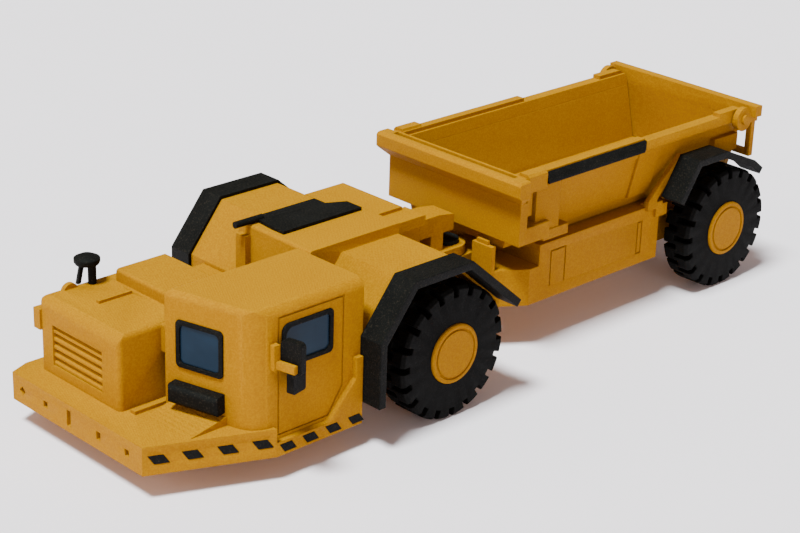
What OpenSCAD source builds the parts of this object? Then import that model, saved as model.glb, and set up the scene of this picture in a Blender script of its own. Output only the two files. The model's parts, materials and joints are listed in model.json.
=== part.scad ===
// Printed model of an articulated underground dump truck.
// X points forward, Y to the vehicle's left, Z up, with the floor at Z = 0.

/* [Wheels] */
// Tyre diameter over the lugs
tyre_d = 40; // [39:0.25:41]
// Tyre width
tyre_w = 10; // [9:0.25:10]
// Lugs around each tyre
lug_count = 20; // [16:1:22]
// Depth of the notches between the lugs
lug_depth = 3; // [2:0.25:3.5]
// Width of each notch
notch_w = 1.9; // [1.5:0.1:2.4]
// Hub disc diameter
hub_d = 17.8; // [16:0.2:19]
// How far the hub stands out of the tyre
hub_proud = 0.8; // [0.4:0.1:1.2]
// Axle rod diameter
axle_d = 5; // [4:0.25:6]
// Distance between the axles
wheelbase = 135.4; // [134:0.2:140]
// Outer face of the front tyres from the middle plane
front_face_y = 42.2; // [41.5:0.1:43]
// Outer face of the rear tyres from the middle plane
rear_face_y = 31.8; // [31.8:0.1:33]

/* [Front deck] */
// Front axle to the face of the bumper
front_overhang = 94.8; // [93:0.2:98]
// Underside of the deck slab above the floor
deck_bottom = 7.3; // [6:0.1:8]
// Top of the deck slab above the floor
deck_top = 15.6; // [15:0.1:17]
// Top of the sill under the cab door
sill_top = 11.5; // [11:0.1:12]
// Left end of the straight bumper face
bumper_left_y = 24.2; // [22:0.2:26]
// Right end of the straight bumper face
bumper_right_y = 34.5; // [33:0.2:35]
// Length of the slanted left corner along X
corner_len = 33.2; // [30:0.2:35]
// Outer face of the left sill from the middle plane
sill_y = 38.7; // [38.2:0.1:40]

/* [Hood and cab] */
// Top of the hood above the floor
hood_top = 37.5; // [36:0.1:39]
// Bumper face to the front of the hood
hood_setback = 7.6; // [6:0.2:9]
// Right side of the hood from the middle plane
hood_right_y = 31.5; // [30:0.1:32.5]
// Left side of the hood from the middle plane
hood_left_y = 4.5; // [3.5:0.1:6]
// Slats in the grille
slat_count = 5; // [4:1:7]
// Top of the cab roof above the floor
cab_top = 49.5; // [49:0.1:51]
// Bumper face to the right front corner of the cab
cab_setback = 19.4; // [18:0.2:21]
// Left side of the cab from the middle plane
cab_left_y = 37; // [36.5:0.1:37]
// Right side of the cab from the middle plane
cab_right_y = 9; // [8:0.1:10]
// Slant of the cab's front in plan, degrees
cab_slant = 15; // [12:0.5:17]
// Rounding of the cab's roof edges
roof_r = 3; // [2:0.25:4]

/* [Front body and fenders] */
// Outer edge of the front fenders from the middle plane
front_fender_y = 45.3; // [44.8:0.1:46]
// Outer side of the yellow front body
body_y = 37.1; // [37:0.1:37.4]
// Fender top above the tyre
arch_rise = 7; // [6.5:0.1:8]
// Fender front ahead of the tyre
arch_ahead = 10.2; // [9.5:0.1:11]
// How far a fender stands proud of the body
fender_proud = 1; // [0.6:0.1:1.4]
// Thickness of a fender
fender_wall = 2.4; // [1.8:0.1:2.8]
// Half width of the centre ridge
ridge_y = 15.3; // [14.5:0.1:16.5]
// Height of the centre ridge above the body
ridge_rise = 3; // [2.4:0.1:3.6]

/* [Rear unit] */
// Front axle to the steering pivot
pivot_back = 38; // [37.5:0.1:38.5]
// Steering pin diameter
pivot_d = 5; // [4:0.25:6]
// Outer side of the rear chassis
chassis_y = 24.5; // [24:0.1:24.8]
// Underside of the rear chassis
chassis_bottom = 14.4; // [13.5:0.1:15]
// Top of the rear chassis
chassis_top = 33; // [32.5:0.1:33.3]
// Outer edge of the rear fenders
rear_fender_y = 33.6; // [33.2:0.1:35]

/* [Dump box] */
// Top of the box's rails above the floor
box_top = 58; // [57.5:0.1:59.5]
// Half width of the box at its floor
box_floor_y = 19.6; // [19.2:0.1:20]
// Half width of the box under its rails
box_upper_y = 24.2; // [23.8:0.1:24.3]
// Half width of the box's front plate
plate_y = 27.8; // [27:0.1:28.5]
// Half width of the bar on the headboard
headboard_y = 30.4; // [29.5:0.1:31]
// Outer side of the rails
rail_y = 27; // [26.6:0.1:27.4]
// Wall thickness of the box
box_wall = 1.8; // [1.4:0.1:2.2]
// Pivot pin to the rear axle
tip_back = 5.4; // [5:0.1:6]
// Tip pin diameter
tip_d = 3; // [2.5:0.25:3.5]
// Tailgate pin diameter
gate_pin_d = 2; // [1.6:0.2:2.4]

/* [Hidden] */
$fn = 48;
fit = 0.05;
seam = 0.4;
groove = 0.5;
// How far a form reaches into the form of the same piece that carries it
root = 1;
tyre_r = tyre_d / 2;
hub_r = hub_d / 2;
length = front_overhang + wheelbase + tyre_r;
xf = length / 2 - front_overhang;
xr = xf - wheelbase;
x_front = length / 2;
sill_x = x_front - corner_len;
arch_z = tyre_d + arch_rise;
body_front = xf + tyre_r + arch_ahead;
sill_rear = body_front + fender_proud + 0.2;
arch_slope = arch_rise + 4.5;
arch_knee_z = tyre_r + 12.5;
arch_foot_z = deck_bottom + 6.3;
// Outline of a front arch: distance from the axle, height
front_arch = [[tyre_r + arch_ahead, arch_foot_z], [tyre_r + arch_ahead, arch_knee_z],
    [tyre_r + arch_ahead - arch_slope, arch_z], [-2.8, arch_z], [-tyre_r - 2.8, tyre_r + 10]];
// Outline of a rear arch: distance from the axle, height
rear_arch = [[tyre_r + 6.4, chassis_top + 2.2], [tyre_r - 1.4, arch_z], [tyre_r - 15, arch_z],
    [-tyre_r + 10.2, arch_z - 6.4], [-tyre_r + 5.8, arch_z - 9.8]];
frame_y = 16;
frame_bottom = 10;
body_rear = xf - tyre_r - 2.8;
wheelhouse_y = front_face_y - tyre_w - 2.6;
xp = xf - pivot_back;
tongue_r = pivot_d / 2 + 3.5;
tongue_y = 6;
tongue_z0 = chassis_bottom + 5;
tongue_z1 = tongue_z0 + 8;
fork_t = 3;
fork_gap = 0.3;
fork_z0 = tongue_z0 - fork_gap - fork_t;
fork_z1 = tongue_z1 + fork_gap + fork_t;
frame_top = fork_z1;
// Half width of the bracket over the steering pin
fork_y = 4.5;
hood_front = x_front - hood_setback;
hood_rear = body_front + 16;
cab_front = x_front - cab_setback;
cab_corner_r = 8;
box_bottom = chassis_top + 0.4;
rail_h = 5;
rail_z = box_top - rail_h;
cap_z = rail_z - 3;
// Black strips on the rails: start behind the front plate, length
strip_start = 8.3;
strip_len = 45.5;
box_front = xp - 2.3;
plate_t = 2.2;
plate_back = box_front - plate_t;
plate_z = box_bottom + 3.3;
box_rear = xr - tyre_r + 9;
main_rear = xr + tyre_r + 6;
// Plane where the rear fenders meet their yellow carriers
rib_y = chassis_y + 1.1;
tip_x = xr - tip_back;
tip_z = chassis_top - 4.5;
tip_lug_r = tip_d / 2 + 1.7;
waist_y = rear_face_y - tyre_w - 5.9;
waist_top = tip_z - tip_lug_r - 0.8;
gate_gap = 0.35;
gate_x = box_rear - gate_gap;
gate_t = 2.4;
rail_eye_r = 3.2;
gate_z = box_top - rail_eye_r;
tail_pin_x = box_rear + rail_eye_r;
ear_y0 = rail_y + 0.5;
ear_t = 2;
ear_r = 3.9;
gate_bar_y = 31;
wall_slope = (box_upper_y - box_floor_y) / (rail_z - box_bottom);
yellow = [0.94, 0.68, 0.08];
black = [0.13, 0.13, 0.14];
blue = [0.16, 0.30, 0.42];

// A block given by its two corners
module block(low, high) {
    translate(low) cube(high - low);
}

// A rectangle with its own radius at each corner, counted from the lower left anticlockwise
module round_rect(low, high, r) {
    size = high - low;
    // Columns: corner, direction into the rectangle, radius
    corners = [[low, [1, 1], r[0]], [[high[0], low[1]], [-1, 1], r[1]],
        [high, [-1, -1], r[2]], [[low[0], high[1]], [1, -1], r[3]]];
    difference() {
        translate(low) square(size);
        for (c = corners)
            if (c[2] > 0)
                translate(c[0]) difference() {
                    translate([c[1][0] < 0 ? -c[2] : -1, c[1][1] < 0 ? -c[2] : -1]) square(c[2] + 1);
                    translate(c[1] * c[2]) circle(c[2]);
                }
    }
}

// Extrudes a drawing of X and Z along Y
module along_y(y0, y1) {
    translate([0, y1, 0]) rotate([90, 0, 0]) linear_extrude(y1 - y0) children();
}

// Extrudes a drawing of Y and Z along X
module along_x(x0, x1) {
    translate([x0, 0, 0]) rotate([90, 0, 90]) linear_extrude(x1 - x0) children();
}

// A rod along Y
module rod_y(x, z, d, y0, y1) {
    translate([x, y1, z]) rotate([90, 0, 0]) cylinder(d = d, h = y1 - y0);
}

// A copy on each side of the middle plane
module both_sides() {
    children();
    mirror([0, 1, 0]) children();
}

// Local frame on the slanted front of the cab: X out of the face, Y along it
module on_cab_front() {
    translate([cab_front, cab_right_y, 0]) rotate([0, 0, cab_slant]) children();
}

// The cab's outline seen from above, with its left front corner rounded
module cab_plan(corner_r) {
    corner = [cab_front - (cab_left_y - cab_right_y) * tan(cab_slant), cab_left_y];
    reach = corner_r / tan((90 + cab_slant) / 2);
    mid = [corner[0] - reach, cab_left_y - corner_r];
    on_front = corner + reach * [sin(cab_slant), -cos(cab_slant)];
    difference() {
        polygon([[body_front, cab_right_y], [cab_front, cab_right_y], corner, [body_front, cab_left_y]]);
        difference() {
            polygon([[mid[0], cab_left_y], [mid[0], cab_left_y + 1], [corner[0] + 1, cab_left_y + 1],
                on_front + [1, 0], on_front, mid]);
            translate(mid) circle(corner_r);
        }
    }
}

// The deck's outline seen from above
module deck_plan() {
    right_y = bumper_right_y + 2.4;
    polygon([[x_front, -bumper_right_y], [x_front, bumper_left_y], [sill_x, sill_y], [sill_rear, sill_y],
        [sill_rear, body_y - 0.2], [body_front, body_y - 0.2], [body_front, -right_y],
        [x_front - 6, -right_y]]);
}

module front_deck() color(yellow) {
    // Recesses in the bumper face: side, width, height, turn
    recesses = [[-29.8, 2, 2, 45], [-18.9, 1.8, 1.8, 0], [-8.1, 1.8, 4.6, 0], [5.2, 1.8, 2.4, 0],
        [17.6, 1.8, 2, 0]];
    recess_z = (deck_top + deck_bottom) / 2;
    deck_corner_r = cab_corner_r - 0.3;
    post_w = 2.4;
    post_foot = 12;
    post_h = 16;
    ramp_x = x_front - 12;
    ramp_len = 13.4;
    ramp_h = 2.6;
    ramp_y = bumper_left_y + 4.2;
    difference() {
        union() {
            translate([0, 0, deck_bottom]) linear_extrude(sill_top - deck_bottom) deck_plan();
            translate([0, 0, sill_top - root]) linear_extrude(deck_top - sill_top + root) difference() {
                deck_plan();
                cab_plan(deck_corner_r);
                translate([body_front - 1, cab_left_y]) square([sill_x - body_front + 1, sill_y]);
            }
            along_y(cab_left_y, sill_y)
                polygon([[sill_rear, sill_top - root], [sill_rear + post_foot, sill_top - root],
                    [sill_rear + post_foot, sill_top], [sill_rear + post_w, sill_top + 10],
                    [sill_rear + post_w, sill_top + post_h], [sill_rear, sill_top + post_h]]);
            // Ramp in front of the cab, and the low strip beside the hood
            difference() {
                along_y(cab_right_y + 1, ramp_y) polygon([[ramp_x, deck_top - root], [ramp_x, deck_top],
                    [ramp_x - ramp_len, deck_top + ramp_h], [ramp_x - ramp_len, deck_top - root]]);
                linear_extrude(cab_top) cab_plan(deck_corner_r);
            }
            block([cab_front - 2.8, hood_left_y + 1.8, deck_top - root],
                [hood_front - 2.2, hood_left_y + 3.8, deck_top + 1]);
        }
        for (r = recesses)
            translate([x_front, r[0], recess_z]) rotate([r[3], 0, 0])
                cube([2, r[1], r[2]], center = true);
        stripe_cuts(0);
    }
}

// The places of the hazard stripes, each grown by a little
module stripe_cuts(play) {
    stripe_w = 4.2;
    stripe_h = 2.6;
    stripe_lean = 1.8;
    stripe_t = 0.6;
    corner_turn = atan2(corner_len, sill_y - bumper_left_y);
    corner_face = sqrt(pow(corner_len, 2) + pow(sill_y - bumper_left_y, 2));
    sill_face = sill_x - body_front;
    // Faces: start, turn about Z, length, height of the stripes
    faces = [[[x_front, bumper_left_y], corner_turn, corner_face, deck_top - 3.9],
        [[sill_x, sill_y], 90, sill_face, deck_bottom + 2.1]];
    shares = [0.12, 0.37, 0.63, 0.89];
    for (f = faces)
        translate([f[0][0], f[0][1], f[3]]) rotate([0, 0, f[1]])
            for (s = shares)
                translate([-stripe_t, s * f[2], 0]) along_x(0, stripe_t + play)
                    polygon([[-stripe_w / 2 - stripe_lean / 2, stripe_h / 2],
                        [stripe_w / 2 - stripe_lean / 2, stripe_h / 2],
                        [stripe_w / 2 + stripe_lean / 2, -stripe_h / 2],
                        [-stripe_w / 2 + stripe_lean / 2, -stripe_h / 2]]);
}

module hazard_stripes() color(black) stripe_cuts(0.1);

module hood() color(yellow) {
    edge_r = 1.5;
    nose_r = 3.5;
    low_top = hood_top - 6;
    box_h = 3.6;
    grille_y0 = -hood_right_y + 6;
    grille_y1 = hood_left_y - 7.5;
    grille_z0 = deck_top + 3;
    grille_z1 = hood_top - 7;
    grille_in = 1.6;
    slat_pitch = (grille_z1 - grille_z0) / slat_count;
    difference() {
        union() {
            intersection() {
                along_y(-hood_right_y, hood_left_y)
                    round_rect([hood_rear, deck_top], [hood_front, hood_top], [0, 0, nose_r, 0]);
                along_x(hood_rear, hood_front)
                    round_rect([-hood_right_y, deck_top], [hood_left_y, hood_top], [0, 0, edge_r, edge_r]);
                translate([0, 0, deck_top]) linear_extrude(hood_top - deck_top)
                    round_rect([hood_rear, -hood_right_y], [hood_front, hood_left_y],
                        [0, edge_r, edge_r, 0]);
            }
            block([body_front, -hood_right_y, deck_top], [hood_rear + root, cab_right_y, low_top]);
            along_y(-hood_right_y + 5.5, hood_left_y - 3)
                round_rect([hood_rear + 2, hood_top - root], [hood_rear + 19, hood_top + box_h], [0, 0, 1, 0]);
            block([hood_front - 20, -hood_right_y + 14, hood_top - root],
                [hood_front - 9, -hood_right_y + 15.4, hood_top + 0.8]);
            block([hood_front - 2.6, -hood_right_y - 2, hood_top - 10],
                [hood_front + 0.6, -hood_right_y + 1, hood_top - 4]);
            // Filler to the cab, and the round lug at the foot of the post
            block([hood_rear, hood_left_y - root, hood_top - 8],
                [cab_front - 2.2, cab_right_y, hood_top - 0.4]);
            rod_y(hood_front - 9.2, hood_top - 1, 5, -hood_right_y + 0.6, -hood_right_y + 2.2);
        }
        block([hood_front - grille_in, grille_y0, grille_z0], [hood_front + 1, grille_y1, grille_z1]);
    }
    for (i = [0 : slat_count - 1])
        along_y(grille_y0, grille_y1)
            translate([hood_front - grille_in, grille_z0 + i * slat_pitch])
                polygon([[-root, 0], [0, 0], [grille_in - 0.3, slat_pitch * 0.1],
                    [grille_in - 0.3, slat_pitch * 0.35], [0, slat_pitch * 0.8], [-root, slat_pitch * 0.8]]);
}

// Door outline on the cab's left side, shrunk by an inset
module door_outline(inset) {
    x0 = body_front + 7 + inset;
    x1 = body_front + 30 - inset;
    z0 = sill_top + 1 + inset;
    z1 = cab_top - 2.8 - inset;
    cut = 5;
    polygon([[x0 + cut, z0], [x1, z0], [x1, z1], [x0, z1], [x0, z0 + cut * 1.5]]);
}

// Door window outline, shrunk by an inset
module door_window_outline(inset) {
    x0 = body_front + 11;
    x1 = body_front + 28.8;
    round_rect([x0 + inset, cab_top - 18 + inset], [x1 - inset, cab_top - 5.3 - inset], [1.6, 1.6, 2.4, 1.2]);
}

// Windscreen outline on the cab's slanted front, shrunk by an inset
module windscreen_outline(inset) {
    round_rect([3.8 + inset, cab_top - 21 + inset], [19 - inset, cab_top - 7.4 - inset], [1.4, 1.4, 1.4, 1.4]);
}

frame_in = 1;
frame_out = 0.5;
frame_w = 1.3;

module cab() color(yellow) {
    face_y = (cab_left_y - cab_right_y) / cos(cab_slant);
    difference() {
        intersection() {
            translate([0, 0, sill_top]) linear_extrude(cab_top - sill_top) cab_plan(cab_corner_r);
            along_x(body_front, cab_front)
                round_rect([cab_right_y, sill_top], [cab_left_y, cab_top], [0, 0, roof_r, 1.5]);
            on_cab_front() along_y(-20, face_y + 20)
                round_rect([-100, sill_top], [0, cab_top], [0, 0, roof_r - 0.7, 0]);
        }
        along_y(cab_left_y - seam, cab_left_y + 1) difference() {
            door_outline(0);
            door_outline(groove);
        }
        along_y(cab_left_y - frame_in, cab_left_y + 1) door_window_outline(0);
        on_cab_front() along_x(-frame_in, 1) windscreen_outline(0);
    }
}

module windscreen_frame() color(black)
    on_cab_front() along_x(-frame_in, frame_out) difference() {
        windscreen_outline(fit);
        windscreen_outline(frame_w);
    }

module windscreen() color(blue)
    on_cab_front() along_x(-frame_in, 0) windscreen_outline(frame_w + fit);

module door_window_frame() color(black)
    along_y(cab_left_y - frame_in, cab_left_y + frame_out) difference() {
        door_window_outline(fit);
        door_window_outline(frame_w);
    }

module door_window() color(blue)
    along_y(cab_left_y - frame_in, cab_left_y) door_window_outline(frame_w + fit);

// The lamp bar on the cab's front: along the face, in height, and out of the face
lamp_y = [3.2, 19.4];
lamp_z = [deck_top + 3.4, deck_top + 8.8];
lamp_t = 4;

module lamp_bar() color(black)
    on_cab_front() intersection() {
        along_y(lamp_y[0], lamp_y[1]) round_rect([0, lamp_z[0]], [lamp_t, lamp_z[1]], [0, 1.4, 1.6, 0]);
        translate([0, 0, lamp_z[0]]) linear_extrude(lamp_z[1] - lamp_z[0])
            round_rect([0, lamp_y[0]], [lamp_t, lamp_y[1]], [0, 1.2, 1.2, 0]);
    }

mirror_x = body_front + 30.7;
mirror_y = cab_left_y + 1.4;
mirror_z = cab_top - 23.1;
arm_z = 6.8;

// Local frame of the door mirror, turned back a little: X ahead of its face, Y out from the cab
module at_mirror() {
    translate([mirror_x, mirror_y, mirror_z]) rotate([0, 0, 12]) children();
}

module mirror_bracket() color(yellow) {
    arm_h = 2.2;
    block([mirror_x, cab_left_y, mirror_z + arm_z - 0.6],
        [mirror_x + 2, cab_left_y + 1.8, mirror_z + 13.4]);
    at_mirror() block([fit, -0.8, arm_z], [1.5, 6, arm_z + arm_h]);
}

module door_mirror() color(black) at_mirror() {
    head_z = 6.2;
    head_t = 2.2;
    along_x(-head_t, 0) round_rect([0.4, head_z], [7, head_z + 8.8], [0.8, 0.8, 1.4, 1.4]);
    along_y(2.4, 4.6) round_rect([-5.4, 0], [0, head_z + root], [0.6, 0.6, 0, 0]);
}

module post_mirror() color(black) {
    leg_x = hood_front - 15.9;
    leg_y = -hood_right_y + 2.7;
    leg_h = 5.6;
    stay_foot = 2.6;
    stay_y = -2.2;
    stay_t = 1.2;
    head = [0.6, -1.4];
    head_r = 3.7;
    head_h = 2.6;
    bevel = 0.8;
    translate([leg_x, leg_y, hood_top]) {
        cylinder(d = 2.4, h = leg_h + root);
        // The thin stay leans from the hood to the head
        along_y(stay_y - stay_t / 2, stay_y + stay_t / 2)
            polygon([[stay_foot, 0], [stay_foot + stay_t, 0], [stay_foot - 0.4, leg_h + root],
                [stay_foot - 0.4 - stay_t, leg_h + root]]);
        translate([head[0], head[1], leg_h]) rotate_extrude() polygon([[0, 0], [head_r - bevel / 2, 0],
            [head_r, bevel], [head_r, head_h - bevel], [head_r - 2 * bevel, head_h], [0, head_h]]);
    }
}

// Unit normal on the inner side of a line from a to b, for a line that runs up, back and down
function inner_normal(a, b) = [a[1] - b[1], b[0] - a[0]] / norm(b - a);

// An arch line moved inwards by t, with mitred corners
function moved_in(p, t) = [for (i = [0 : len(p) - 1])
    let (
        before = inner_normal(p[max(i - 1, 0)], p[max(i, 1)]),
        after = inner_normal(p[min(i, len(p) - 2)], p[min(i + 1, len(p) - 1)]),
        both = before + after
    ) p[i] + t * 2 * both / (both * both)];

// The band between an arch line moved in by two amounts
function arch_band(p, t0, t1) = let (inner = moved_in(p, t1))
    concat(moved_in(p, t0), [for (i = [len(inner) - 1 : -1 : 0]) inner[i]]);

// Closes an arch line to a filled outline down to a height
function closed_arch(p, z) = concat([[p[0][0], z]], p, [[p[len(p) - 1][0], z]]);

module front_body() color(yellow) {
    wall = 2;
    ridge_rear = xf - 3.5;
    ridge_top = arch_z + ridge_rise;
    pillar_y = [-14.2, -10];
    arm_rear = xp + 1.4;
    leg_x = xp + pivot_d / 2 + 3.2;
    arm_z = [fork_z1 + 5.6, fork_z1 + 11.6];
    // Blocks behind the ridge: rear end, right side, left side, underside, top
    steps = [[xf - 18.8, -25.4, 0.4, arch_foot_z, arch_z - 0.3], [xf - 20.4, -22, 6.6, arch_foot_z, arch_z - 4],
        [xf - 21.3, -1, 7.8, arch_z - 4.6, arch_z - 1.3]];
    difference() {
        union() {
            translate([xf, 0, 0]) along_y(-body_y, body_y) polygon(closed_arch(front_arch, arch_foot_z));
            along_y(-ridge_y, ridge_y)
                round_rect([ridge_rear, arch_foot_z], [body_front, ridge_top], [0, 0, 1, 0]);
            for (s = steps)
                block([s[0], s[1], s[3]], [ridge_rear, s[2], s[4]]);
            block([body_front - root, pillar_y[0], hood_top - 6], [body_front + 2, pillar_y[1], arch_z]);
            // Bracket over the steering pin
            along_y(-fork_y, fork_y) polygon([[leg_x, fork_z1], [leg_x + 5, fork_z1], [leg_x + 5, arm_z[0]],
                [xf - 15, arm_z[0]], [xf - 15, arm_z[1]], [leg_x + 2, arm_z[1]], [arm_rear, arm_z[1] - 1],
                [arm_rear, arm_z[0]], [leg_x, arm_z[0]]]);
        }
        both_sides() translate([xf, 0, 0]) along_y(wheelhouse_y, body_y + 1)
            polygon(closed_arch(moved_in(front_arch, wall), 0));
        block([xf - 60, -frame_y, 0], [body_front + 1, frame_y, frame_top]);
        rod_y(xf, tyre_r, axle_d + 1, -body_y - 1, body_y + 1);
    }
}

module front_fenders() color(black)
    both_sides() translate([xf, 0, 0]) along_y(body_y, front_fender_y)
        polygon(arch_band(front_arch, -fender_proud, fender_wall - fender_proud));

module top_panel() color(black) {
    ridge_top = arch_z + ridge_rise;
    panel_t = 1;
    stub_in = 2;
    stub_out = 8;
    translate([0, 0, ridge_top]) linear_extrude(panel_t)
        polygon([[body_front - 2.5, 1.2], [xf - 1.8, 1.2], [xf - 1.8, -5], [xf + 4, -8],
            [xf + 4, -12.8], [body_front - 3, -12.8], [body_front - 3, -9.5], [body_front - 2.5, -4]]);
    translate([body_front - 3 - stub_in, -11, ridge_top + panel_t]) rotate([0, 90, 0])
        cylinder(d = 2 * panel_t, h = stub_out + stub_in);
}

module front_frame() color(yellow) {
    difference() {
        union() {
            block([body_rear, -frame_y, frame_bottom], [body_front, frame_y, frame_top]);
            for (z = [fork_z0, fork_z1 - fork_t]) {
                block([xp, -tongue_r, z], [body_rear + root, tongue_r, z + fork_t]);
                translate([xp, 0, z]) cylinder(r = tongue_r, h = fork_t);
            }
        }
        translate([xp, 0, 0]) cylinder(d = pivot_d + 2 * fit, h = arch_z);
        rod_y(xf, tyre_r, axle_d + 2 * fit, -frame_y - 1, frame_y + 1);
    }
}

module front_axle() color(black) rod_y(xf, tyre_r, axle_d, -front_face_y + 2, front_face_y - 2);

module rear_axle() color(black) rod_y(xr, tyre_r, axle_d, -rear_face_y + 2, rear_face_y - 2);

module steering_pin() color(black) {
    head_h = 1.4;
    translate([xp, 0, fork_z0]) cylinder(d = pivot_d, h = fork_z1 - fork_z0);
    translate([xp, 0, fork_z1]) cylinder(d = pivot_d + 3, h = head_h);
}

module rear_chassis() color(yellow) {
    nose_x = xp - 11.5;
    main_front = nose_x - 4;
    tail_x = tip_x - tip_lug_r;
    lug_in = 8;
    lug_t = 3;
    carrier_t = 1;
    cheek_front = xp - 1;
    cheek_in = 8.6;
    cheek_out = 17.5;
    cheek_top = tongue_z1 - 1.2;
    bracket_x = xp - 2.6;
    bracket_y = [10.2, 18.4];
    bracket_top = plate_z - 1.6;
    bracket_step = 1.2;
    rib_t = 1.6;
    rib_w = 2.2;
    rib_foot = tyre_r + 11;
    groove_top = chassis_top - 3;
    difference() {
        union() {
            block([main_rear, -chassis_y, chassis_bottom], [main_front, chassis_y, chassis_top]);
            block([main_front - root, -chassis_y, chassis_bottom], [nose_x, chassis_y, tongue_z0 + 1]);
            block([tail_x, -waist_y, chassis_bottom], [main_rear + root, waist_y, waist_top]);
            block([main_front - root, -tongue_y, tongue_z0], [xp, tongue_y, tongue_z1]);
            translate([xp, 0, tongue_z0]) cylinder(r = tongue_y, h = tongue_z1 - tongue_z0);
            both_sides() {
                block([tip_x - tip_lug_r, lug_in, waist_top - root],
                    [tip_x + tip_lug_r, lug_in + lug_t, tip_z]);
                rod_y(tip_x, tip_z, 2 * tip_lug_r, lug_in, lug_in + lug_t);
                // Cheeks beside the tongue, with a bracket on each
                translate([0, 0, chassis_bottom]) linear_extrude(cheek_top - chassis_bottom)
                    polygon([[main_front - root, cheek_in], [cheek_front, cheek_in], [cheek_front, cheek_out],
                        [nose_x, chassis_y], [main_front - root, chassis_y]]);
                block([bracket_x, bracket_y[0], cheek_top - root],
                    [cheek_front, bracket_y[1], bracket_top - bracket_step]);
                block([bracket_x, bracket_y[0] + bracket_step, cheek_top - root],
                    [cheek_front - 0.6, bracket_y[1] - 2 * bracket_step, bracket_top]);
                // Carrier of the fender, its foot on the chassis, and the slanted rib ahead of it
                translate([xr, 0, 0]) along_y(rib_y - carrier_t, rib_y)
                    polygon(arch_band([for (i = [0 : 2]) rear_arch[i]], 0, fender_wall - fender_proud));
                block([main_rear - fender_wall, chassis_y - 2, chassis_top - 4],
                    [main_rear + 3, rib_y, chassis_top]);
                translate([xr, 0, 0]) along_y(rib_y - rib_t, rib_y)
                    polygon([[rib_foot + rib_w, chassis_top - root], [rib_foot + rib_w, chassis_top + 2],
                        [rear_arch[1][0], arch_z + 1], [rear_arch[1][0] - rib_w, arch_z],
                        [rib_foot - rib_w, chassis_top + 2], [rib_foot - rib_w, chassis_top - root]]);
                block([main_rear, chassis_y - 2, chassis_top - root],
                    [xr + rib_foot + rib_w, rib_y, chassis_top + 1]);
            }
        }
        translate([xp, 0, 0]) cylinder(d = pivot_d + 2 * fit, h = arch_z);
        rod_y(xr, tyre_r, axle_d + 2 * fit, -rear_face_y, rear_face_y);
        both_sides() rod_y(tip_x, tip_z, tip_d + 2 * fit, lug_in - 1, lug_in + lug_t + 1);
        // Grooves in the side plates: rear, front, underside, top, open below
        both_sides() along_y(chassis_y - seam, chassis_y + 1)
            for (g = [[main_front - 12, main_front - 5, chassis_bottom + 4, groove_top, 1],
                    [main_rear + 8, main_rear + 10.4, chassis_bottom + 3.6, groove_top - 1, 0]])
                difference() {
                    block_2d([g[0], g[2]], [g[1], g[3]]);
                    block_2d([g[0] + groove, g[2] + groove - 2 * g[4]], [g[1] - groove, g[3] - groove]);
                }
    }
}

// A plain rectangle given by its two corners
module block_2d(low, high) {
    translate(low) square(high - low);
}

module rear_fenders() color(black)
    both_sides() translate([xr, 0, 0]) along_y(rib_y, rear_fender_y)
        polygon(arch_band(rear_arch, -fender_proud, fender_wall - fender_proud));

// The box's cross-section between two heights, moved in by a wall
module box_section(z0, z1, inset) {
    y0 = box_floor_y + wall_slope * (z0 - box_bottom) - inset;
    y1 = box_floor_y + wall_slope * (z1 - box_bottom) - inset;
    polygon([[-y0, z0], [y0, z0], [y1, z1], [-y1, z1]]);
}

module box_shell() color(yellow) {
    floor_t = 2;
    lug_out = 11.2;
    lug_t = 3;
    sill_z = plate_z + 1.4;
    inner_y = box_floor_y - box_wall;
    // Bands and ribs that follow the sides: start behind the plate, length, underside, top, thickness
    bands = [[19, 36, rail_z - 2.6, rail_z, 0.5], [54.6, 10.2, box_bottom + 3, rail_z, 0.9]];
    // Upright blocks on the sides: start behind the plate, length, side, underside, top
    blocks = [[1.2, 2.6, 26.8, plate_z + 8.4, rail_z], [6.2, 10.6, 26.2, plate_z + 1.6, rail_z],
        [0, 11, plate_y, plate_z, plate_z + 5.2], [10, 11, 26.4, plate_z - 1.6, plate_z + 1.7],
        [plate_back - xr - 1, xr + 1 - box_rear, rib_y - 0.5, arch_z - 4, arch_z + 1.6]];
    difference() {
        union() {
            along_x(box_rear, plate_back) box_section(box_bottom, rail_z, 0);
            for (b = bands)
                along_x(plate_back - b[0] - b[1], plate_back - b[0]) box_section(b[2], b[3], -b[4]);
            both_sides() {
                for (b = blocks)
                    block([plate_back - b[0] - b[1], inner_y, b[3]], [plate_back - b[0], b[2], b[4]]);
                block([tip_x - tip_lug_r, lug_out, tip_z],
                    [tip_x + tip_lug_r, lug_out + lug_t, box_bottom + root]);
                rod_y(tip_x, tip_z, 2 * tip_lug_r, lug_out, lug_out + lug_t);
            }
            block([plate_back - root, -plate_y, plate_z], [box_front, plate_y, cap_z]);
        }
        // The load space, with a low sill in front
        difference() {
            along_x(box_rear - 1, plate_back) box_section(box_bottom + floor_t, rail_z + 1, box_wall);
            block([plate_back - box_wall, -box_upper_y, box_bottom], [box_front, box_upper_y, sill_z]);
        }
        both_sides() rod_y(tip_x, tip_z, tip_d + 2 * fit, lug_out - 1, lug_out + lug_t + 1);
    }
}

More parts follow.
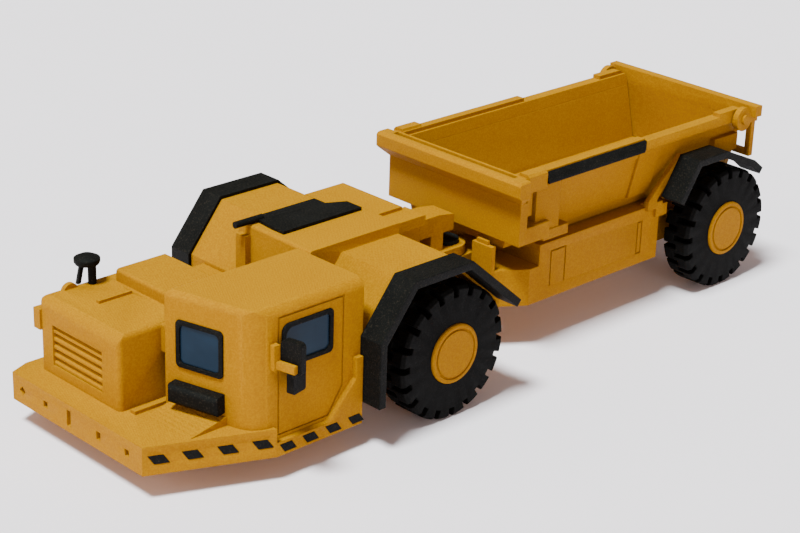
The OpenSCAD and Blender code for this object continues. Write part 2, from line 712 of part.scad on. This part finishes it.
module box_rails() color(yellow) {
    inner_y = box_upper_y - box_wall;
    raised = 1.2;
    block_len = strip_start - 0.3;
    proud = 1.6;
    // Raised stretches: start behind the plate, end behind the plate
    stretches = [[0, strip_start + strip_len], [91, plate_back - box_rear]];
    difference() {
        both_sides() {
            along_x(box_rear, plate_back) polygon([[inner_y, rail_z], [inner_y + 0.8, box_top - raised],
                [rail_y, box_top - raised], [rail_y, rail_z + 0.8], [rail_y - 1.2, rail_z]]);
            for (s = stretches)
                along_x(plate_back - s[1], plate_back - s[0])
                    block_2d([inner_y + 1.6, box_top - raised - root], [rail_y, box_top]);
            // Raised front corner, proud of the rail
            along_x(plate_back - block_len, plate_back)
                polygon([[rail_y - 3, box_top - root], [rail_y - root, rail_z + 0.6],
                    [rail_y + proud, rail_z + 0.2], [rail_y + proud, box_top],
                    [rail_y + proud / 2, box_top + proud / 2], [rail_y - 2.2, box_top + proud / 2]]);
        }
        // Round rear ends, so that the tailgate swings about them
        along_y(-rail_y - 1, rail_y + 1) difference() {
            block_2d([box_rear - 1, gate_z], [tail_pin_x, box_top + 1]);
            translate([tail_pin_x, gate_z]) circle(rail_eye_r);
        }
        rod_y(tail_pin_x, gate_z, gate_pin_d + 2 * fit, -rail_y - 1, -inner_y - 1.6);
        rod_y(tail_pin_x, gate_z, gate_pin_d + 2 * fit, inner_y + 1.6, rail_y + 1);
    }
}

module headboard_cap() color(yellow) {
    bar_front = box_front + 3.4;
    bevel = 1;
    channel_z = box_top - 1.6;
    channel_y = headboard_y - 5;
    channel = [plate_back + root, box_front + 0.9];
    pocket_z = box_top - 4;
    pocket_len = 5.5;
    under = bar_front - box_front;
    over = headboard_y - plate_y;
    difference() {
        union() {
            block([plate_back, -plate_y, cap_z], [box_front, plate_y, box_top - 0.2]);
            // The bar, carried by a slope below it and at its ends
            intersection() {
                along_y(-headboard_y, headboard_y) polygon([[box_front - root, cap_z], [box_front, cap_z],
                    [bar_front, cap_z + under], [bar_front, box_top - bevel], [bar_front - bevel, box_top],
                    [box_front - root, box_top]]);
                along_x(box_front - root, bar_front) polygon([[-plate_y, cap_z], [plate_y, cap_z],
                    [headboard_y, cap_z + over], [headboard_y, box_top - bevel / 2],
                    [headboard_y - bevel / 2, box_top], [-headboard_y + bevel / 2, box_top],
                    [-headboard_y, box_top - bevel / 2], [-headboard_y, cap_z + over]]);
            }
        }
        block([channel[0], -channel_y, channel_z], [channel[1], channel_y, box_top + 1]);
        // Corner pockets at the channel's ends
        both_sides() translate([0, 0, pocket_z]) linear_extrude(rail_h)
            polygon([[channel[0], channel_y], [channel[1], channel_y], [channel[1], channel_y - pocket_len]]);
    }
}

module edge_strips() color(black) {
    strip_t = 2.2;
    strip_z = rail_z + 1.5;
    front = plate_back - strip_start;
    rear = front - strip_len;
    both_sides() intersection() {
        along_x(rear, front) polygon([[rail_y, strip_z], [rail_y + strip_t, strip_z],
            [rail_y + strip_t, box_top - 2.8], [rail_y + 0.6, box_top - 0.4], [rail_y, box_top - 0.4]]);
        linear_extrude(box_top + 1) polygon([[front, rail_y], [front, rail_y + strip_t],
            [rear + strip_t, rail_y + strip_t], [rear, rail_y + 0.8], [rear, rail_y]]);
    }
}

module tip_pin() color(black) both_sides() rod_y(tip_x, tip_z, tip_d, 7.4, 14.8);

module tailgate() color(yellow) {
    ear_z0 = box_bottom + 8;
    gate_y = box_floor_y + wall_slope * (ear_z0 - box_bottom);
    difference() {
        union() {
            along_x(gate_x - gate_t, gate_x) box_section(box_bottom + 0.8, rail_z + root, 0);
            block([gate_x - gate_t - 1, -ear_y0 - ear_t, rail_z], [gate_x, ear_y0 + ear_t, box_top + 0.6]);
            block([gate_x - gate_t - 1, -gate_bar_y, box_top - 3], [gate_x, gate_bar_y, box_top + 0.6]);
            for (y = [-14, 0, 14])
                along_x(gate_x - gate_t - 0.8, gate_x - root)
                    block_2d([y - 1.2, box_bottom + 2], [y + 1.2, rail_z + root]);
            both_sides() {
                rod_y(tail_pin_x, gate_z, 2 * ear_r, ear_y0, ear_y0 + ear_t);
                block([gate_x - gate_t, ear_y0, gate_z - 1.4], [tail_pin_x, ear_y0 + ear_t, gate_z + 1.4]);
                block([gate_x - gate_t, ear_y0, ear_z0], [gate_x - 0.4, ear_y0 + ear_t, rail_z]);
                along_x(gate_x - gate_t, gate_x - 0.4) block_2d([gate_y - 1, ear_z0], [ear_y0, ear_z0 + 2]);
            }
        }
        both_sides() rod_y(tail_pin_x, gate_z, gate_pin_d + 2 * fit, rail_y, ear_y0 + ear_t + 1);
    }
}

module tailgate_pins() color(yellow) both_sides() {
    inner_y = box_upper_y - box_wall + 1.6;
    rod_y(tail_pin_x, gate_z, gate_pin_d, inner_y, ear_y0 + ear_t);
    rod_y(tail_pin_x, gate_z, gate_pin_d + 1.2, ear_y0 + ear_t, ear_y0 + ear_t + 0.8);
}

// A tyre lying on its axle, with its outer face at zero and its inner face at minus the width
module tyre_shape() {
    shoulder = 0.9;
    band = tyre_w * 0.55;
    step = 360 / lug_count;
    difference() {
        rotate_extrude($fn = 96) polygon([[hub_r + fit, -tyre_w], [tyre_r - shoulder, -tyre_w],
            [tyre_r, -tyre_w + shoulder], [tyre_r, -shoulder], [tyre_r - shoulder, 0], [hub_r + fit, 0]]);
        for (i = [0 : lug_count - 1]) {
            rotate([0, 0, i * step])
                block([tyre_r - lug_depth, -notch_w / 2, -band], [tyre_r + 1, notch_w / 2, 1]);
            rotate([0, 0, (i + 0.5) * step])
                block([tyre_r - lug_depth, -notch_w / 2, -tyre_w - 1],
                    [tyre_r + 1, notch_w / 2, -tyre_w + band]);
        }
    }
}

// A hub with its ring groove and its blind bore for the axle
module hub_shape() {
    ring_r = hub_r * 0.82;
    ring_w = 0.6;
    ring_in = 0.5;
    cap_t = 1.6;
    rotate_extrude($fn = 64) polygon([[0, hub_proud], [ring_r - ring_w / 2, hub_proud],
        [ring_r - ring_w / 2, hub_proud - ring_in], [ring_r + ring_w / 2, hub_proud - ring_in],
        [ring_r + ring_w / 2, hub_proud], [hub_r - 0.4, hub_proud], [hub_r, hub_proud - 0.4],
        [hub_r, -tyre_w], [axle_d / 2 + fit, -tyre_w], [axle_d / 2 + fit, -cap_t], [0, -cap_t]]);
}

// Puts a wheel piece on its axle: axle place, face height from the middle, side
module at_wheel(x, face_y, side) {
    translate([x, side * face_y, tyre_r]) rotate([-90 * side, 0, 0]) children();
}

module tyre_front_left() color(black) at_wheel(xf, front_face_y, 1) tyre_shape();
module tyre_front_right() color(black) at_wheel(xf, front_face_y, -1) tyre_shape();
module tyre_rear_left() color(black) at_wheel(xr, rear_face_y, 1) tyre_shape();
module tyre_rear_right() color(black) at_wheel(xr, rear_face_y, -1) tyre_shape();
module hub_front_left() color(yellow) at_wheel(xf, front_face_y, 1) hub_shape();
module hub_front_right() color(yellow) at_wheel(xf, front_face_y, -1) hub_shape();
module hub_rear_left() color(yellow) at_wheel(xr, rear_face_y, 1) hub_shape();
module hub_rear_right() color(yellow) at_wheel(xr, rear_face_y, -1) hub_shape();

front_frame();
front_deck();
hood();
cab();
front_body();
front_fenders();
top_panel();
windscreen_frame();
windscreen();
door_window_frame();
door_window();
lamp_bar();
mirror_bracket();
door_mirror();
post_mirror();
hazard_stripes();
front_axle();
rear_chassis();
rear_fenders();
rear_axle();
steering_pin();
box_shell();
box_rails();
headboard_cap();
edge_strips();
tip_pin();
tailgate();
tailgate_pins();
tyre_front_left();
hub_front_left();
tyre_front_right();
hub_front_right();
tyre_rear_left();
hub_rear_left();
tyre_rear_right();
hub_rear_right();
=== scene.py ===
"""Looks of a printed model of an articulated underground dump truck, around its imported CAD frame."""

import json
import math

import bmesh
import bpy
from mathutils import Matrix, Vector


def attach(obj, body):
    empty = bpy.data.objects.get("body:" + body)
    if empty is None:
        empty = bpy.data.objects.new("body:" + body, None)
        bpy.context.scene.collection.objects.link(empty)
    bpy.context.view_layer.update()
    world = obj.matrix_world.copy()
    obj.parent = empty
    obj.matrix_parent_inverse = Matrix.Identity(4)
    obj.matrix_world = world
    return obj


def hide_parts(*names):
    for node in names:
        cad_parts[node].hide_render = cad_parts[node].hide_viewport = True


MM = 0.001

# The photograph's camera: its picture in pixels, its place in the frame's millimetres and degrees
IMAGE_WIDTH = 800
FOCAL_PIXELS = 2037.2
SENSOR_WIDTH = 36.0
CAMERA_AZIMUTH = 45.64
CAMERA_ELEVATION = 22.86
CAMERA_ROLL = -1.81
CAMERA_DISTANCE = 635.2
CAMERA_TARGET = (-7.74, -19.37, 16.0)
CAMERA_CLIP_START = 10.0

# The studio: the floor's half width in millimetres, and the light from all around
FLOOR_HALF_WIDTH = 4000.0
WORLD_COLOUR = (1.0, 0.90, 0.80)
WORLD_STRENGTH = 0.30

# Print marks on the surface: widths in millimetres, the raster's turn in degrees
LAYER_HEIGHT = 0.28
LAYER_WOBBLE = 0.6
RASTER_WIDTH = 0.42
RASTER_WOBBLE = 0.8
RASTER_TURN = 45.0
GRAIN_PER_MM = 2.2
SPECKS_PER_MM = 2.1
# A face lies flat where the upright share of its normal is above this
FLAT_LIMIT = 0.9

# Edges of the printed pieces: rounding in millimetres, angles in degrees
EDGE_ROUND = 0.3
FINE_EDGE_ROUND = 0.15
SLIGHT_EDGE_ROUND = 0.08
EDGE_SEGMENTS = 2
EDGE_SHADE_RADIUS = 0.35
EDGE_SHADE_SAMPLES = 4
SHARP_ANGLE = 28.0
# CAD points nearer than this are welded, and faces that meet flatter than this are joined
WELD_DISTANCE = 0.002
JOIN_ANGLE = 0.5
# Pieces with steps or walls too thin for the usual rounding
SLIGHT_NODES = ["headboard_cap", "lamp_bar", "mirror_bracket", "tailgate_pins", "windscreen_frame",
                "door_window_frame", "front_frame"]

# Linear colours
NONE = (0.0, 0.0, 0.0)
FULL = (1.0, 1.0, 1.0)
YELLOW_DARK = (0.315, 0.128, 0.0)
YELLOW_LIGHT = (0.365, 0.159, 0.0)
YELLOW_BLOTCH = (0.96, 0.94, 1.0)
YELLOW_STREAK = (0.265, 0.100, 0.0)
WINDOW_DARK = (0.002, 0.011, 0.026)
WINDOW_LIGHT = (0.004, 0.016, 0.035)
FLOOR_DARK = (0.905, 0.795, 0.90)
FLOOR_LIGHT = (0.92, 0.81, 0.915)

# Streaks on standing faces: their largest share, and how their noise is scaled along x, y and z
STREAK_SHARE = 0.24
STREAK_SCALE = (0.7, 0.7, 2.0)

# Specular levels
PRINT_SHINE = 0.05
WINDOW_SHINE = 0.12

# Noise values between which a blotch goes from its dark tone to its light one
BLOTCH_START = 0.3
BLOTCH_END = 0.7

# The wave texture turns by this many radians over one unit, at a scale of one
WAVE_RADIANS = 20.0
# The noise that bends the bands of the wave texture
WAVE_DETAIL = 1.0
WAVE_DETAIL_SCALE = 0.6

# Places of the colour sockets on the mix node, which has several sockets of each name
MIX_FIRST = 6
MIX_SECOND = 7
MIX_RESULT = 2


# Shader nodes

class Shader:
    """A material's node tree, with short calls to add nodes and link them."""

    def __init__(self, name):
        self.material = bpy.data.materials.new(name)
        self.material.use_nodes = True
        self.nodes = self.material.node_tree.nodes
        self.links = self.material.node_tree.links
        self.bsdf = self.nodes["Principled BSDF"]
        coords = self.add("ShaderNodeTexCoord")
        self.normal = coords.outputs["Normal"]
        self.millimetres = self.scaled(coords.outputs["Object"], (1 / MM, 1 / MM, 1 / MM))

    def add(self, kind, **settings):
        node = self.nodes.new(kind)
        for key, value in settings.items():
            setattr(node, key, value)
        return node

    def link(self, source, target):
        self.links.new(source, target)

    def scaled(self, vector, scale, turn=(0, 0, 0)):
        mapping = self.add("ShaderNodeMapping")
        mapping.inputs["Scale"].default_value = scale
        mapping.inputs["Rotation"].default_value = turn
        self.link(vector, mapping.inputs["Vector"])
        return mapping.outputs["Vector"]

    def noise(self, per_mm, detail, roughness=0.5, space=None):
        """Noise in the part's millimetres, or in another space."""
        node = self.add("ShaderNodeTexNoise")
        node.inputs["Scale"].default_value = per_mm
        node.inputs["Detail"].default_value = detail
        node.inputs["Roughness"].default_value = roughness
        self.link(self.millimetres if space is None else space, node.inputs["Vector"])
        return node.outputs["Fac"]

    def bands(self, vector, width, wobble, axis):
        """Sine bands of a width in millimetres along an axis."""
        node = self.add("ShaderNodeTexWave", wave_type="BANDS", bands_direction=axis)
        node.inputs["Scale"].default_value = 2 * math.pi / (WAVE_RADIANS * width)
        node.inputs["Distortion"].default_value = wobble
        node.inputs["Detail"].default_value = WAVE_DETAIL
        node.inputs["Detail Scale"].default_value = WAVE_DETAIL_SCALE
        self.link(vector, node.inputs["Vector"])
        return node.outputs["Fac"]

    def calculate(self, operation, *values):
        node = self.add("ShaderNodeMath", operation=operation)
        for socket, value in zip(node.inputs, values):
            if isinstance(value, float):
                socket.default_value = value
            else:
                self.link(value, socket)
        return node.outputs["Value"]

    def ramp(self, value, start, start_colour, end, end_colour):
        """A colour that goes from one to another as a value goes from start to end."""
        node = self.add("ShaderNodeValToRGB")
        first, last = node.color_ramp.elements
        first.position = start
        first.color = (*start_colour, 1.0)
        last.position = end
        last.color = (*end_colour, 1.0)
        self.link(value, node.inputs["Fac"])
        return node.outputs["Color"]

    def blotches(self, per_mm, detail, dark, light):
        """A colour that wanders between two tones."""
        return self.ramp(self.noise(per_mm, detail), BLOTCH_START, dark, BLOTCH_END, light)

    def mix(self, factor, first, second, blend="MIX"):
        node = self.add("ShaderNodeMix", data_type="RGBA", blend_type=blend)
        if isinstance(factor, float):
            node.inputs["Factor"].default_value = factor
        else:
            self.link(factor, node.inputs["Factor"])
        for place, colour in ((MIX_FIRST, first), (MIX_SECOND, second)):
            if isinstance(colour, tuple):
                node.inputs[place].default_value = (*colour, 1.0)
            else:
                self.link(colour, node.inputs[place])
        return node.outputs[MIX_RESULT]

    def bump(self, height, depth, below):
        """A bump of a depth in millimetres, on top of another normal."""
        node = self.add("ShaderNodeBump")
        node.inputs["Strength"].default_value = 1.0
        node.inputs["Distance"].default_value = depth * MM
        self.link(height, node.inputs["Height"])
        self.link(below, node.inputs["Normal"])
        return node.outputs["Normal"]

    def flat_share(self):
        """One where a face lies flat, zero where it stands."""
        split = self.add("ShaderNodeSeparateXYZ")
        self.link(self.normal, split.inputs["Vector"])
        upright = self.calculate("ABSOLUTE", split.outputs["Z"])
        return self.calculate("GREATER_THAN", upright, FLAT_LIMIT)

    def paint(self, colour):
        self.link(colour, self.bsdf.inputs["Base Color"])

    def roughen(self, per_mm, detail, low, high):
        """Roughness that wanders between two values."""
        node = self.add("ShaderNodeMapRange")
        node.inputs["To Min"].default_value = low
        node.inputs["To Max"].default_value = high
        self.link(self.noise(per_mm, detail), node.inputs["Value"])
        self.link(node.outputs["Result"], self.bsdf.inputs["Roughness"])

    def shine(self, level):
        self.bsdf.inputs["Specular IOR Level"].default_value = level

    def print_bump(self, layer_depth, raster_depth, grain_depth):
        """Softened edges with layer lines on standing faces, raster lines on flat ones and grain on all."""
        layers = self.bands(self.millimetres, LAYER_HEIGHT, LAYER_WOBBLE, "Z")
        turned = self.scaled(self.millimetres, (1, 1, 1), (0, 0, math.radians(RASTER_TURN)))
        lines = self.bands(turned, RASTER_WIDTH, RASTER_WOBBLE, "X")
        raster = self.calculate("MULTIPLY", lines, self.flat_share())
        grain = self.noise(per_mm=GRAIN_PER_MM, detail=3.0, roughness=0.6)
        edges = self.add("ShaderNodeBevel", samples=EDGE_SHADE_SAMPLES)
        edges.inputs["Radius"].default_value = EDGE_SHADE_RADIUS * MM
        normal = self.bump(layers, layer_depth, edges.outputs["Normal"])
        normal = self.bump(raster, raster_depth, normal)
        normal = self.bump(grain, grain_depth, normal)
        self.link(normal, self.bsdf.inputs["Normal"])


# Materials

def grey(level):
    return (level, level, level)


def yellow_plastic():
    """Stippled yellow with faint blotches, and darker streaks on standing faces."""
    shader = Shader("yellow_plastic")
    stipple_noise = shader.noise(per_mm=SPECKS_PER_MM, detail=0.0)
    stipple = shader.ramp(stipple_noise, start=0.36, start_colour=NONE, end=0.64, end_colour=FULL)
    grained = shader.mix(stipple, YELLOW_DARK, YELLOW_LIGHT)
    blotches = shader.blotches(per_mm=0.06, detail=3.0, dark=YELLOW_BLOTCH, light=FULL)
    toned = shader.mix(1.0, grained, blotches, blend="MULTIPLY")
    streak_space = shader.scaled(shader.millimetres, STREAK_SCALE)
    streak_noise = shader.noise(per_mm=1.0, detail=1.0, space=streak_space)
    strongest = grey(STREAK_SHARE)
    streaks = shader.ramp(streak_noise, start=0.40, start_colour=strongest, end=0.62, end_colour=NONE)
    standing = shader.calculate("SUBTRACT", 1.0, shader.flat_share())
    streak_share = shader.calculate("MULTIPLY", streaks, standing)
    shader.paint(shader.mix(streak_share, toned, YELLOW_STREAK))
    shader.roughen(per_mm=0.9, detail=3.0, low=0.45, high=0.65)
    shader.shine(PRINT_SHINE)
    shader.print_bump(layer_depth=0.060, raster_depth=0.040, grain_depth=0.055)
    return shader.material


def black_plastic(name, dark, light, fleck, rough_low, rough_high, grain_depth):
    """Black that wanders between two greys, with small flecks."""
    shader = Shader(name)
    base = shader.blotches(per_mm=0.12, detail=3.0, dark=grey(dark), light=grey(light))
    speck_noise = shader.noise(per_mm=SPECKS_PER_MM, detail=3.0, roughness=0.65)
    specks = shader.ramp(speck_noise, start=0.55, start_colour=NONE, end=0.73, end_colour=FULL)
    shader.paint(shader.mix(specks, base, fleck))
    shader.roughen(per_mm=1.1, detail=3.0, low=rough_low, high=rough_high)
    shader.shine(PRINT_SHINE)
    shader.print_bump(layer_depth=0.030, raster_depth=0.030, grain_depth=grain_depth)
    return shader.material


def window_plastic():
    """Dark blue inserts, smoother than the print."""
    shader = Shader("window_plastic")
    shader.paint(shader.blotches(per_mm=0.15, detail=2.0, dark=WINDOW_DARK, light=WINDOW_LIGHT))
    shader.roughen(per_mm=1.4, detail=2.0, low=0.26, high=0.42)
    shader.shine(WINDOW_SHINE)
    shader.print_bump(layer_depth=0.006, raster_depth=0.006, grain_depth=0.010)
    return shader.material


def pale_floor():
    shader = Shader("pale_floor")
    shader.paint(shader.blotches(per_mm=0.012, detail=4.0, dark=FLOOR_DARK, light=FLOOR_LIGHT))
    shader.roughen(per_mm=0.4, detail=2.0, low=0.7, high=0.85)
    return shader.material


def part_materials():
    """One material for each slot of the record."""
    return {
        "yellow_plastic": yellow_plastic(),
        "black_plastic": black_plastic("black_plastic", dark=0.003, light=0.005, fleck=(0.028, 0.022, 0.017),
                                       rough_low=0.46, rough_high=0.68, grain_depth=0.130),
        "tyre_plastic": black_plastic("tyre_plastic", dark=0.002, light=0.004, fleck=(0.011, 0.010, 0.009),
                                      rough_low=0.55, rough_high=0.75, grain_depth=0.050),
        "pin_plastic": black_plastic("pin_plastic", dark=0.006, light=0.009, fleck=grey(0.02),
                                     rough_low=0.45, rough_high=0.65, grain_depth=0.02),
        "window_plastic": window_plastic(),
    }


# Pieces

def add_object(name, data):
    obj = bpy.data.objects.new(name, data)
    bpy.context.scene.collection.objects.link(obj)
    return obj


def dress(mesh, material):
    mesh.materials.clear()
    mesh.materials.append(material)


def join_faces(mesh):
    """Weld a CAD mesh, join its flat triangles into faces and mark its sharp edges."""
    work = bmesh.new()
    work.from_mesh(mesh)
    bmesh.ops.remove_doubles(work, verts=work.verts, dist=WELD_DISTANCE * MM)
    bmesh.ops.dissolve_limit(work, angle_limit=math.radians(JOIN_ANGLE), verts=work.verts,
                             edges=work.edges, use_dissolve_boundaries=False)
    bmesh.ops.connect_verts_concave(work, faces=work.faces)
    sharp = math.radians(SHARP_ANGLE)
    for face in work.faces:
        face.smooth = True
    for edge in work.edges:
        edge.smooth = len(edge.link_faces) == 2 and edge.calc_face_angle(0.0) < sharp
    work.to_mesh(mesh)
    work.free()


def edge_round(node):
    """A node's rounding: the least on thin pieces, the most on the yellow body, a fine one on the rest."""
    if node in SLIGHT_NODES:
        return SLIGHT_EDGE_ROUND
    if slot_of_node[node] == "yellow_plastic" and not node.startswith("hub_"):
        return EDGE_ROUND
    return FINE_EDGE_ROUND


def round_edges(piece, width):
    bevel = piece.modifiers.new("edge_round", "BEVEL")
    bevel.width = width * MM
    bevel.segments = EDGE_SEGMENTS
    bevel.limit_method = "ANGLE"
    bevel.angle_limit = math.radians(SHARP_ANGLE)
    bevel.use_clamp_overlap = True
    bevel.miter_outer = "MITER_ARC"
    bevel.harden_normals = True


def rounded_copy(node, material):
    """A copy of a CAD node with its edges rounded as the printer leaves them. It stands for the node."""
    mesh = frame["nodes"][node].data.copy()
    join_faces(mesh)
    dress(mesh, material)
    piece = add_object("print_" + node, mesh)
    round_edges(piece, edge_round(node))
    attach(piece, body_of_node[node])
    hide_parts(node)


# Stage

def make_floor():
    half = FLOOR_HALF_WIDTH * MM
    mesh = bpy.data.meshes.new("floor")
    corners = [(-half, -half, 0), (half, -half, 0), (half, half, 0), (-half, half, 0)]
    mesh.from_pydata(corners, [], [(0, 1, 2, 3)])
    dress(mesh, pale_floor())
    floor = add_object("floor", mesh)


def far_light(name, direction, spread, power, colour):
    """A lamp far away: its direction from the part, its spread in degrees."""
    light = bpy.data.lights.new(name, "SUN")
    light.angle = math.radians(spread)
    light.energy = power
    light.color = colour
    lamp = add_object(name, light)
    lamp.location = direction
    lamp.rotation_euler = (-Vector(direction)).to_track_quat("-Z", "Y").to_euler()


def make_light():
    world = bpy.data.worlds.new("studio")
    world.use_nodes = True
    background = world.node_tree.nodes["Background"]
    background.inputs["Color"].default_value = (*WORLD_COLOUR, 1.0)
    background.inputs["Strength"].default_value = WORLD_STRENGTH
    bpy.context.scene.world = world
    far_light("top_light", direction=(0.40, 0.04, 1.0), spread=14.0, power=8.2, colour=(0.87, 1.0, 0.93))
    far_light("near_fill", direction=(0.35, 0.90, 0.22), spread=40.0, power=1.1, colour=(1.0, 0.86, 0.70))
    far_light("front_fill", direction=(0.85, -0.50, 0.25), spread=40.0, power=1.3, colour=(1.0, 0.88, 0.74))


def make_camera():
    azimuth = math.radians(CAMERA_AZIMUTH)
    elevation = math.radians(CAMERA_ELEVATION)
    roll = math.radians(CAMERA_ROLL)
    back = Vector((math.cos(elevation) * math.cos(azimuth), math.cos(elevation) * math.sin(azimuth),
                   math.sin(elevation)))
    level_right = (-back).cross(Vector((0, 0, 1))).normalized()
    level_down = (-back).cross(level_right)
    right = level_right * math.cos(roll) + level_down * math.sin(roll)
    up = level_right * math.sin(roll) - level_down * math.cos(roll)
    place = (Vector(CAMERA_TARGET) + back * CAMERA_DISTANCE) * MM
    data = bpy.data.cameras.new("camera")
    data.sensor_fit = "HORIZONTAL"
    data.sensor_width = SENSOR_WIDTH
    data.lens = FOCAL_PIXELS * SENSOR_WIDTH / IMAGE_WIDTH
    data.clip_start = CAMERA_CLIP_START * MM
    camera = add_object("camera", data)
    camera.matrix_world = Matrix.Translation(place) @ Matrix((right, up, back)).transposed().to_4x4()
    bpy.context.scene.camera = camera


# The part in its studio

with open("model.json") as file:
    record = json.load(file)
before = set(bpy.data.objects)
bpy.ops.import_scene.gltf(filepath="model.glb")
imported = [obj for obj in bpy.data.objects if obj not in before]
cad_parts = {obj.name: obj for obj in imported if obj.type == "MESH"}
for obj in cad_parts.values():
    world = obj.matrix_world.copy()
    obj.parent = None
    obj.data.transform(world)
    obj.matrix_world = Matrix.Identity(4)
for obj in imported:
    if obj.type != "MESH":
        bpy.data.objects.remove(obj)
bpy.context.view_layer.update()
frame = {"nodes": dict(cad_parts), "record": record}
bodies = frame["record"]["behaviour"]["bodies"]
body_of_node = {node: body for body, nodes in bodies.items() for node in nodes}
slot_of_node = {part["node"]: part["material_slot"] for part in frame["record"]["subparts"]}

make_camera()
make_floor()
make_light()

materials = part_materials()
for node, slot in slot_of_node.items():
    if slot == "window_plastic":
        dress(frame["nodes"][node].data, materials[slot])
    else:
        rounded_copy(node, materials[slot])
